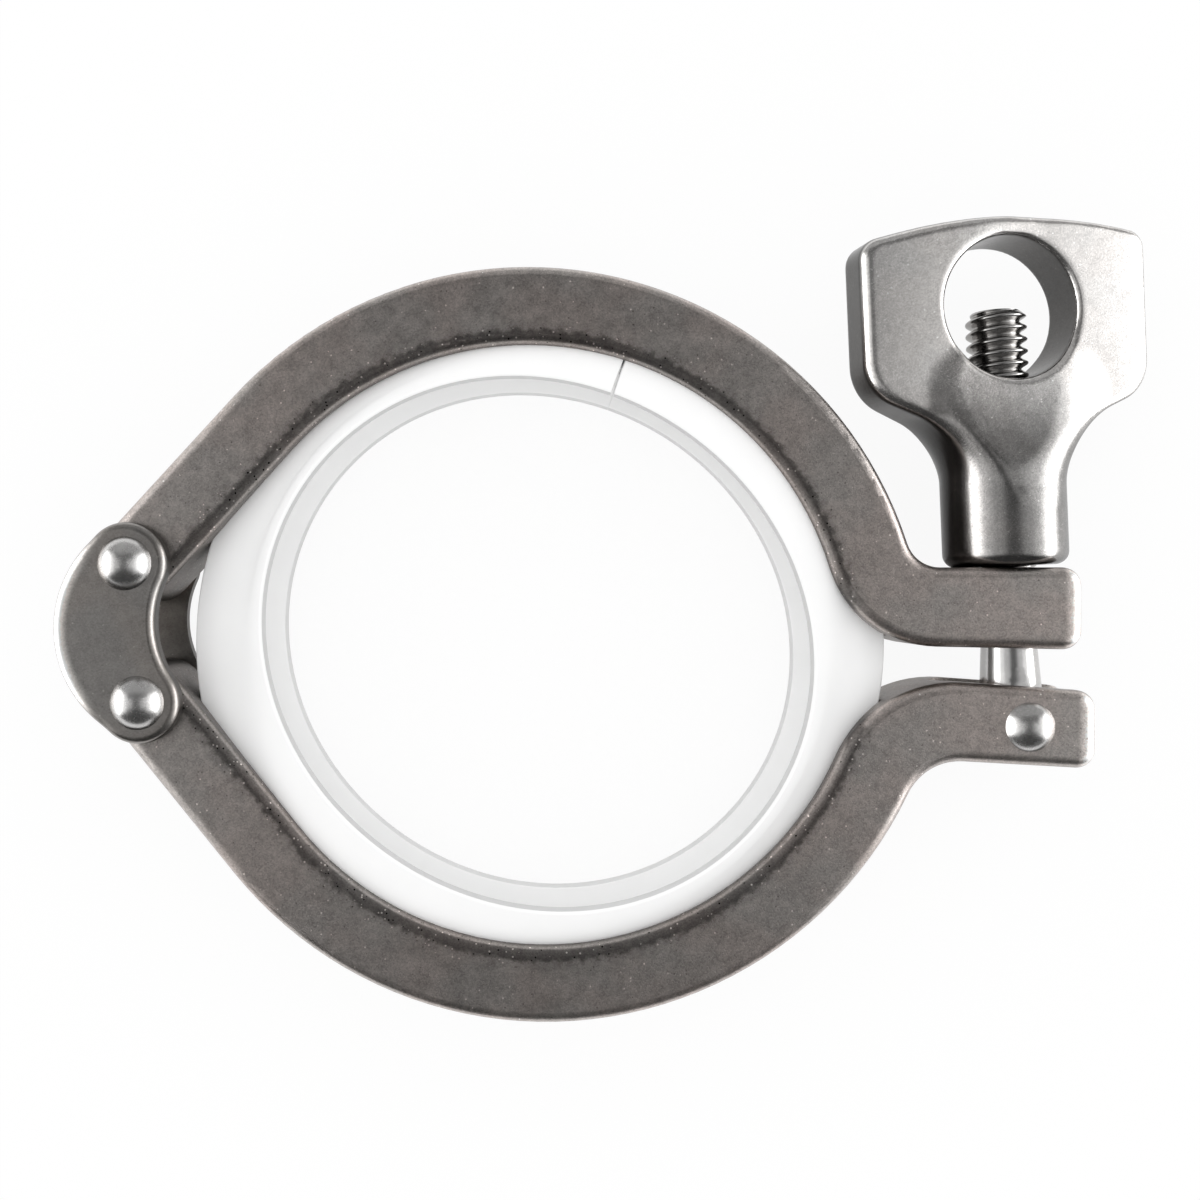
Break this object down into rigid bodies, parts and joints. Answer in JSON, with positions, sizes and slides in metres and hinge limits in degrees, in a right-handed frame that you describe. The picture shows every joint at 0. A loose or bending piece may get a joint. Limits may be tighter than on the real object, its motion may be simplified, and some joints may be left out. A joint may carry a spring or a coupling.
{
  "type": "sanitary clamp swivel joint",
  "caption": "Hinged stainless clamp with swing bolt and wing nut round a split white swivel ring that joins two smaller tube ferrules.",
  "frame": {"origin": "centre of the swivel ring's bore, at mid-thickness of the clamp", "axes": "+X from the hinge to the jaws, +Y from the bolt's pin towards the wing nut, +Z along the bore"},
  "size_m": [0.1443, 0.1053, 0.0246],
  "materials": {
    "cast_steel": "satin, as cast and tumbled",
    "plate_steel": "satin",
    "nut_steel": "semi-polished casting",
    "polished_steel": "polished",
    "white_plastic": "matte"
  },
  "bodies": {
    "lower_clamp": {"lower_half": "cast_steel", "bolt_pin": "polished_steel"},
    "links": {"front_link": "plate_steel", "back_link": "plate_steel", "upper_rivet": "polished_steel", "lower_rivet": "polished_steel"},
    "upper_clamp": {"upper_half": "cast_steel"},
    "bolt": {"swing_bolt": "polished_steel"},
    "nut": {"wing_nut": "nut_steel"},
    "ring": {"swivel_ring": "white_plastic"}
  },
  "joints": [
    {"name": "bolt_swing", "type": "hinge", "parent": "lower_clamp", "child": "bolt", "pos_m": [0.0634, -0.0107, 0], "axis": [0, 0, -1], "range_deg": [0, 60]},
    {"name": "nut_travel", "type": "slide", "parent": "bolt", "child": "nut", "axis": [-0.0401, 0.9992, 0], "range_m": [0, 0.028]},
    {"name": "link_hinge", "type": "hinge", "parent": "lower_clamp", "child": "links", "pos_m": [-0.0514, -0.0074, 0], "axis": [0, 0, 1], "range_deg": [0, 4]},
    {"name": "upper_hinge", "type": "hinge", "parent": "links", "child": "upper_clamp", "pos_m": [-0.053, 0.0104, 0], "axis": [0, 0, 1], "range_deg": [0, 5.5]},
    {"name": "ring_turn", "type": "hinge", "parent": "lower_clamp", "child": "ring", "pos_m": [0, 0, 0], "axis": [0, 0, 1], "continuous": true}
  ],
  "couplings": [
    {"joint": "nut_travel", "follows": "bolt_swing", "m_per_rad": 0.0267},
    {"joint": "link_hinge", "follows": "bolt_swing", "ratio": 0.0666},
    {"joint": "upper_hinge", "follows": "bolt_swing", "ratio": 0.0916}
  ]
}
